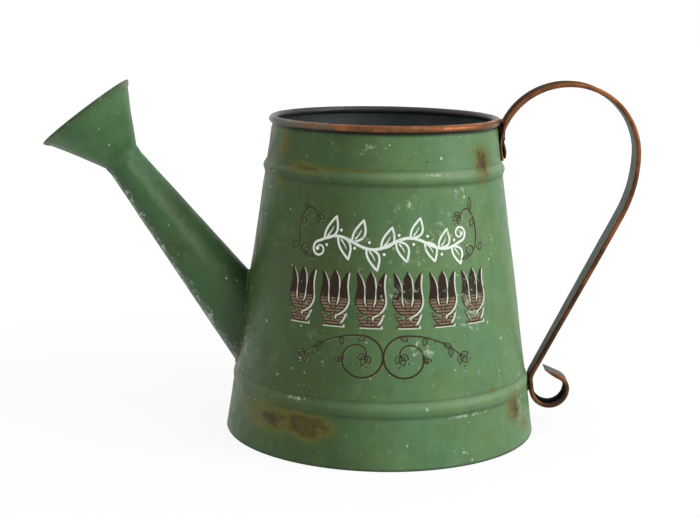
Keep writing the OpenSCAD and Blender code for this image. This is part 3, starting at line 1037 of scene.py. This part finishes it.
places = [(tab_start, 90 + lean, TAB_PRESS, 0.0)]
places += straight(tab_start, tab_end, 90 + lean, TAB_PRESS, 0, 0, 8)
places += bend(tab_c, TAB_BEND_R, lean + 180, ARCH_START, TAB_PRESS)
places += [(arch_low, ARCH_START - 90, TAB_PRESS, 0.0)]
places += bend(ARCH_C, ARCH_R, ARCH_START, 0)
places += bend(shoulder_c, SHOULDER_R, 0, -shoulder_turn)
places += straight(run_start, narrow_start, run_heading, 1, 0, 0, 4)
places += straight(narrow_start, run_end, run_heading, 1, 0, narrowing, 24)
places += bend(foot_c, FOOT_BEND_R, run_heading - 90, lean - 180, 1, narrowing)
places += straight(foot_start, foot_end, lean - 90, 1, narrowing, narrowing, 3)
places += bend(scroll_c, SCROLL_R, lean - 180, 0, 1, narrowing)
places += bend(scroll_end_c, SCROLL_END_R, 0, SCROLL_END_TURN, 1, narrowing)
tail = straight(scroll_end, scroll_tip, SCROLL_END_TURN + 90, 1, narrowing, narrowing, 6)
for i, (at, heading, _, inset) in enumerate(tail):
    places.append((at, heading, 1 - 0.9 * ((i + 1) / 6) ** 1.5, inset))
print(len(places), "places along the handle")

# %% The section of the strap
EDGE_STEPS = 13
EDGE_TURN = 280


def edge_arc(r, start, end, side):
    """An arc of the rolled edge: height over the hand's face, y, share of copper, share of the outer face."""
    made = []
    for i in range(EDGE_STEPS + 1):
        angle = start + (end - start) * i / EDGE_STEPS
        copper = min(1.0, max(0.0, (angle - 5) / 30), max(0.0, (195 - angle) / 30))
        at = (EDGE_R + r * cos(radians(angle)), side * (edge_y + r * sin(radians(angle))))
        made.append((*at, copper, 1.0 if angle < 60 else 0.0))
    return made


def half_section(side):
    """One half of the section, from the hand's face round the rolled edge to the outer face."""
    outside = edge_arc(EDGE_R, 180, 180 - EDGE_TURN, side)
    inside = edge_arc(EDGE_R - SHEET, 180 - EDGE_TURN, 180, side)
    y = side * (edge_y - 0.7)
    return [(0, y, 0.0, 0.0)] + outside + inside + [(SHEET, y, 0.0, 1.0)]


section = half_section(1) + [(SHEET, 0, 0.0, 1.0)] + half_section(-1)[::-1] + [(0, 0, 0.0, 0.0)]


def section_at(place):
    """The section's points at one place of the route."""
    point, heading, roundness, inset = place
    left = direction(heading + 90)
    made = []
    for x, y, _, _ in section:
        x = min(x, SHEET) + max(x - SHEET, 0) * roundness
        y = y - copysign(inset, y) if y else 0
        made.append(Vector((point.x + x * left.x, y, point.y + x * left.y)))
    return made


print(len(section), "points round the strap")


# %% Sweep the section along the route
def sweep(bm, sections, closed):
    """Extrudes a line of edges from section to section.  Each point remembers its number in the section."""
    number = bm.verts.layers.int.new("number")
    drawn = draw_line(bm, sections[0], closed)
    edges = [e for e in drawn if isinstance(e, bmesh.types.BMEdge)]
    for i, vert in enumerate(v for v in drawn if isinstance(v, bmesh.types.BMVert)):
        vert[number] = i
    first = edges
    for points in sections[1:]:
        made = bmesh.ops.extrude_edge_only(bm, edges=edges)["geom"]
        verts = {v for v in made if isinstance(v, bmesh.types.BMVert)}
        edges = [e for e in made if isinstance(e, bmesh.types.BMEdge) and set(e.verts) <= verts]
        for vert in verts:
            vert.co = points[vert[number]]
    return number, first, edges


bm = bmesh.new()
number, *ends = sweep(bm, [section_at(p) for p in places], closed=True)
for end in ends:
    bmesh.ops.contextual_create(bm, geom=end)
bmesh.ops.recalc_face_normals(bm, faces=bm.faces)
rolled = bm.verts.layers.float.new("rolled_edge")
outer = bm.verts.layers.float.new("outer_face")
for vert in bm.verts:
    vert[rolled], vert[outer] = section[vert[number]][2:]
    vert.co += Vector((1, 0.6, 1)) * 0.14 * noise.noise(vert.co / 11)


# %% Finish of the strap: copper edges, grey-green faces
def stored(where, name):
    """A number that the mesh keeps on its points."""
    return Field(add_node(where.tree, "ShaderNodeAttribute", attribute_name=name).outputs["Fac"])


STRAP_FINISH, where = new_finish("strap_finish")
edge = stored(where, "rolled_edge")
copper, _, metallic = copper_colors(where)
cloud = noise_value(where, 90, 5, 0.65)
paint = mix_colors(remap(cloud, 0.35, 0.65), (0.048, 0.072, 0.055, 1), (0.098, 0.126, 0.102, 1))
# the outer face is dark brown high up and near black low down; the near black inside the scroll is painted
# shade
by_height = remap(height_of(where), 55 * MM, 90 * MM)
backs = mix_colors(by_height, (0.012, 0.016, 0.018, 1), (0.085, 0.048, 0.018, 1))
paint = mix_colors(stored(where, "outer_face"), paint, backs)
paint = mix_colors(remap(noise_value(where, 190, 4, 0.7), 0.60, 0.72) * 0.6, paint, COPPER_BROWN)
on_edge = remap((cloud - 0.5) * 1.1 + edge, 0.42, 0.62)
# painted shade: a dark line where the rolled edges meet the faces
painted_crease_shade = remap(abs(edge - 0.45), 0.45, 0.05)
color = mix_colors(painted_crease_shade * 0.75, mix_colors(on_edge, paint, copper), (0.018, 0.014, 0.010, 1))
finish(STRAP_FINISH, color, remap(on_edge, 0, 1, 0.55, 0.40), cloud, 0.4, metallic * on_edge, 0.2)
make_piece("strap", bm, [STRAP_FINISH], ["handle_strap"], crease=50)

# %% [markdown]
# ## Solder at the ends of the handle
#
# The tab is soldered to the wall under the rim and the strap's foot to the lower rib.  Each joint is a
# flattened lump, or a few of them, that just shows beside the strap.

# %% Lumps of solder
SOLDER, where = new_finish("old_solder")
copper, _, metallic = copper_colors(where)
dull = remap(noise_value(where, 140, 4, 0.6), 0.40, 0.60)
color = mix_colors(remap(dull, 0, 1, 0.55, 1.0), copper, (0.030, 0.028, 0.016, 1))
finish(SOLDER, color, 0.5, dull, 0.3, metallic, 0.5)


def make_solder(name, node, lumps):
    """Flattened, uneven balls, each with a place, half sizes, a tilt and a number for its noise."""
    bm = bmesh.new()
    for place, size, tilt, seed in lumps:
        turn = Matrix.Translation(place) @ Matrix.Rotation(radians(tilt), 4, "Y")
        shape = turn @ Matrix.Diagonal(Vector(size).to_4d())
        ball = bmesh.ops.create_icosphere(bm, subdivisions=4, radius=1, matrix=shape)
        for vert in ball["verts"]:
            vert.co += (vert.co - Vector(place)) * 0.25 * noise.noise(vert.co / 2.5 + Vector((seed, 0, 0)))
    make_piece(name, bm, [SOLDER], [node], crease=80)


tab_middle = tab_start.lerp(tab_end, 0.45)
foot_middle = (foot_start + foot_end) / 2
make_solder("tab_solder", "handle_top_solder", (
    ((tab_middle.x - 2.0, 0, tab_middle.y), (1.3, 9.6, 7.0), -lean, 1),
    ((tab_middle.x + 1.0, 0, TAB_LOW_Z + 5.5), (1.3, 9.3, 5.0), -lean, 4),
    ((MOUTH_R + 2.6, 0, RIM_Z - 7.0), (2.4, 8.8, 6.5), -12, 5),
    ((MOUTH_R + 3.0, 0, RIM_Z - 0.6), (1.5, 6.5, 1.8), 0, 2),
))
foot_lump = ((foot_middle.x - 0.9, 0, foot_middle.y), (1.1, 7.4, 4.2), -lean, 3)
make_solder("scroll_solder", "handle_foot_solder", [foot_lump])

# %% [markdown]
# ## The print
#
# The front has a printed ornament without any words: a white garland, a row of brown tulips with copper
# stripes and white shadows, and brown scrolls below.  Each shape is drawn flat, as a ribbon along a curve, and
# then wrapped on the wall a tenth of a millimetre above the paint.  u runs round the wall towards the handle,
# and v runs up.

# %% Ribbons on the wall
PRINT_LIFT = 0.12
SHADOW_LIFT = 0.06
PRINT_MIDDLE = 3.0
PRINT_R = wall_radius(95)
ACROSS = (-1.0, -0.55, 0.0, 0.55, 1.0)


def along(steps=40):
    """Shares from 0 to 1 along a line."""
    return [i / steps for i in range(steps + 1)]


def add_ribbon(bm, points, width):
    """A ribbon along flat points.  width gives its half-width at each share of its length."""
    count = len(points) - 1
    sections = []
    for i, point in enumerate(points):
        ahead = points[min(i + 1, count)] - points[max(i - 1, 0)]
        side = Vector((-ahead.y, ahead.x)).normalized() * max(width(i / count), 0.03)
        sections.append([(point + side * a).to_3d() for a in ACROSS])
    part = bmesh.new()
    number = sweep(part, sections, closed=False)[0]
    mesh = bpy.data.meshes.new("ribbon")
    layer = part.verts.layers.float.new("across")
    for vert in part.verts:
        vert[layer] = ACROSS[vert[number]]
    part.to_mesh(mesh)
    part.free()
    bm.from_mesh(mesh)
    bpy.data.meshes.remove(mesh)


def add_dot(bm, centre, r):
    """A round dot."""
    place = Matrix.Translation(centre.to_3d())
    bmesh.ops.create_circle(bm, cap_ends=True, segments=14, radius=r, matrix=place)


def outline_leaf(bm, base, heading, length, half, line, bow=0.0):
    """A leaf drawn as an outline with a rib.  line is the half-width of the stroke, bow bends the leaf."""
    ahead, across = direction(heading), direction(heading + 90)

    def at(s, side):
        return base + ahead * length * s + across * (side * half * sin(pi * s ** 0.85) + bow * sin(pi * s))

    add_ribbon(bm, [at(s, 1) for s in along(18)] + [at(s, -1) for s in along(18)][::-1][1:], lambda s: line)
    add_ribbon(bm, [at(s, 0) for s in (0.15, 0.30, 0.45, 0.60)], lambda s: 0.8 * line * (1 - 0.6 * s))


def spiral(centre, start, turns, r, end_r, steps=48, fall=1.0):
    """A spiral that starts at an angle and winds in round its centre, slowly at first if fall is large."""
    return [centre + (r + (end_r - r) * s ** fall) * direction(start + turns * s) for s in along(steps)]


def make_print(name, draw, ink, lift=PRINT_LIFT, shift=(0, 0)):
    """Draws flat shapes, wraps them on the wall, moved by shift, and gives them their ink."""
    bm = bmesh.new()
    draw(bm)
    for vert in bm.verts:
        angle = radians(PRINT_MIDDLE - 90) + (vert.co.x + shift[0]) / PRINT_R
        vert.co = on_wall(angle, vert.co.y + shift[1], lift)
    for face in bm.faces:
        if face.normal.dot(face.calc_center_median()) < 0:
            face.normal_flip()
    make_piece(name, bm, [ink])


print("the print is centred", PRINT_MIDDLE, "degrees from the front")

# %% Ink: the printed colour where it has not worn off
STRIPE = 1.7
STRIPES_TOP = 94.5


def make_ink(name, ink_color, hold, stripe_color=None):
    """Ink over the wall's own paint.  hold is the share that the wear has left."""
    material, where = new_finish(name)
    # the paint under the ink has the same painted sheen towards the lamps
    paint = use_group(PAINT, Vector=where, Fade=painted_lamp_side(where), Wear=wear_mask(where, WEAR_AND_HIGHLIGHT_PATCHES))
    color = ink_color
    if stripe_color:
        z = height_of(where)
        lines = remap(calculate("SINE", z * (2 * pi / (STRIPE * MM))), -0.75, -0.25)
        inner = remap(abs(stored(where, "across")), 0.78, 0.66)
        low = remap(z, STRIPES_TOP * MM, (STRIPES_TOP - 1) * MM)
        color = mix_colors(low * inner * lines, ink_color, stripe_color)
    rubbed = remap(noise_value(where, 230, 6, 0.72), hold, hold + 0.05)
    color = mix_colors(calculate("MAXIMUM", rubbed, paint["Chips"] * 0.8), color, paint["Color"])
    finish(material, color, paint["Roughness"], paint["Height"], gloss=0.5 * PAINT_GLOSS)
    return material


WHITE_INK = make_ink("white_ink", (0.82, 0.89, 0.80, 1), 0.68)
SHADOW_INK = make_ink("shadow_ink", (0.66, 0.70, 0.58, 1), 0.60)
BROWN_INK = make_ink("brown_ink", (0.030, 0.016, 0.010, 1), 0.62, (0.23, 0.155, 0.095, 1))
LINE_INK = make_ink("line_ink", (0.040, 0.027, 0.014, 1), 0.60)
FAINT_INK = make_ink("faint_ink", (0.17, 0.24, 0.13, 1), 0.54)
print("inks:", WHITE_INK.name, SHADOW_INK.name, BROWN_INK.name, LINE_INK.name, FAINT_INK.name)

# %% White garland
GARLAND_V = 124.5
GARLAND_HALF = 0.85
GARLAND_FROM, GARLAND_TO = -42.0, 44.0
GARLAND_LEAVES = 10


def garland_point(share):
    """The stem: a long slow wave."""
    return Vector((GARLAND_FROM + (GARLAND_TO - GARLAND_FROM) * share, GARLAND_V + 3.2 * sin(4 * pi * share)))


def draw_garland(bm):
    """The stem, its leaves and dots by turns above and below, and a curl at each end."""
    add_ribbon(bm, [garland_point(s) for s in along(160)], lambda s: GARLAND_HALF * (0.8 + 0.2 * sin(pi * s)))
    for i in range(GARLAND_LEAVES):
        share = (i + 0.35) / GARLAND_LEAVES
        up = 1 if i % 2 == 0 else -1
        outline_leaf(bm, garland_point(share), 62 * up, 14.5 - 3.5 * share, 3.1, 0.62, -1.5 * up)
        add_dot(bm, garland_point(share) + Vector((1.5, -3.4 * up)), 0.85)
    for share, side in ((0.0, -1), (1.0, 1)):
        curl = spiral(garland_point(share) + Vector((0, 4.6 * side)), -90 * side, 440, 4.6, 1.4)
        add_ribbon(bm, curl, lambda s: GARLAND_HALF * (0.8 - 0.3 * s))
        add_dot(bm, curl[-1], 1.2)


make_print("print_garland", draw_garland, WHITE_INK)

# %% Row of tulips with stripes and shadows
TULIPS = 6
TULIP_PITCH = 20.6
LOW_V, HIGH_V = 79.0, 109.5
TULIP_H = HIGH_V - LOW_V
PETAL_OUT = 6.9


def add_tulip(bm, u):
    """A stiff tulip: a middle petal on a stem, two side petals like a bowl, two leaves and a flat foot."""
    cup_v = LOW_V + 0.24 * TULIP_H
    stem = [Vector((u, LOW_V + TULIP_H * s)) for s in along()]
    add_ribbon(bm, stem, lambda s: min(1.3 + 1.5 * sin(pi * max(0.0, s - 0.3) / 0.7), 18 * (1 - s)))
    for side in (-1, 1):
        petal = []
        for s in along(36):
            out = PETAL_OUT * sin(pi / 2 * min(1.0, s / 0.5)) - 1.6 * sin(pi * s ** 2) + 1.0 * s ** 4
            petal.append(Vector((u + side * out, cup_v + (HIGH_V - 0.6 - cup_v) * s ** 1.35)))
        add_ribbon(bm, petal, lambda s: 2.5 * sin(pi * (0.16 + 0.84 * s)) ** 0.6)
        leaf = [Vector((u + side * 7.2 * s, LOW_V + 1.0 + 7.0 * s ** 1.6)) for s in along(20)]
        add_ribbon(bm, leaf, lambda s: 1.6 * sin(pi * (0.20 + 0.80 * s)) ** 0.8)
    add_ribbon(bm, [Vector((u - 6.2 + 12.4 * s, LOW_V + 0.6)) for s in along(8)], lambda s: 0.8)


def draw_tulips(bm):
    """The whole row."""
    for i in range(TULIPS):
        add_tulip(bm, (i - (TULIPS - 1) / 2) * TULIP_PITCH)


make_print("print_tulips", draw_tulips, BROWN_INK)
make_print("print_tulip_shadows", draw_tulips, SHADOW_INK, SHADOW_LIFT, (0.9, -0.65))

# %% Scrolls below, and sprigs at the corners
LINE_HALF = 0.34
THIN = 0.8 * LINE_HALF
SCROLL_V = 62.5
SCROLL_U = 12.0
SCROLL_SHIFT = -2.6
COIL_R = 12.0


def add_bud(bm, base, heading, length):
    """Three outlined petals and two dots beyond them."""
    for turn, share in ((-48, 0.8), (0, 1.0), (48, 0.8)):
        outline_leaf(bm, base, heading + turn, length * share, 0.26 * length, THIN)
    for turn in (-24, 24):
        add_dot(bm, base + 1.05 * length * direction(heading + turn), 0.45)


def add_scroll(bm, side):
    """One half of the lower ornament: an arm with leaves runs in to the middle and winds up in a coil."""
    arm = [Vector((SCROLL_U + 31.0 * (1 - s), SCROLL_V + COIL_R - 12.5 * (1 - s) ** 2.2)) for s in along()]
    coil = spiral(Vector((SCROLL_U, SCROLL_V)), 90, 430, COIL_R, 3.2, 120, 2.6)
    line = [Vector((side * p.x + SCROLL_SHIFT, p.y)) for p in arm + coil[1:]]
    add_ribbon(bm, line, lambda s: LINE_HALF * (0.8 + 0.7 * sin(pi * s)))
    last = (line[-1] - line[-2]).normalized()
    add_bud(bm, line[-1], degrees(atan2(last.y, last.x)), 6.0)
    add_bud(bm, line[0], -90 + 42 * side, 6.5)
    for k, turn, length in ((7, -35, 6.0), (8, 95, 5.5), (26, 75, 4.5), (44, 150, 4.5)):
        outline_leaf(bm, line[k], 180 + turn if side > 0 else -turn, length, 1.3, THIN)
    for k, turn in ((112, 30), (116, -35)):
        outline_leaf(bm, line[k], turn - 30 if side > 0 else 210 - turn, 4.5, 1.1, THIN)


def add_sprig(bm, side):
    """A corner sprig beside the garland: a bowed stem with curls, a leaf and a bud."""
    stem = []
    for s in along():
        angle = radians(135 - 210 * s)
        stem.append(Vector((side * (50.0 + 7.0 * cos(angle)), 129.0 + 13.0 * sin(angle))))
    add_ribbon(bm, stem, lambda s: LINE_HALF * (0.8 + 0.6 * sin(pi * s)))
    add_bud(bm, stem[0], 90 + 110 * side, 5.5)
    outline_leaf(bm, stem[14], 90 - 4 * side, 8.0, 1.4, THIN)
    outline_leaf(bm, stem[-1], -90 - 75 * side, 7.5, 0.9, THIN)
    for k, out, up, r in ((23, -2.6, 1.5, 2.6), (30, 3.4, -3.0, 2.8), (34, -4.2, -1.2, 3.3)):
        centre = stem[k] + Vector((side * out, up))
        start = 90 - 90 * side if out < 0 else 90 + 90 * side
        add_ribbon(bm, spiral(centre, start, 420 * side, r, 0.7, 30), lambda s: LINE_HALF * (1.0 - 0.3 * s))


def draw_scrolls(bm):
    """Both sides of the lines round the garland and the tulips."""
    for side in (-1, 1):
        add_scroll(bm, side)
        add_sprig(bm, side)


make_print("print_scrolls", draw_scrolls, LINE_INK)
make_print("print_scroll_shadows", draw_scrolls, FAINT_INK, SHADOW_LIFT, (0.40, -0.35))

# %% [markdown]
# ## Sizes, and the end
#
# The box of the finished can is written beside the frame's box, so that the two can be compared.

# %% Write the sizes and finish
visual_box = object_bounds()
for axis, name in enumerate("xyz"):
    was, now = cad_box[1][axis] - cad_box[0][axis], visual_box[1][axis] - visual_box[0][axis]
    print(f"{name}: frame {was / MM:.1f} mm, finished {now / MM:.1f} mm")
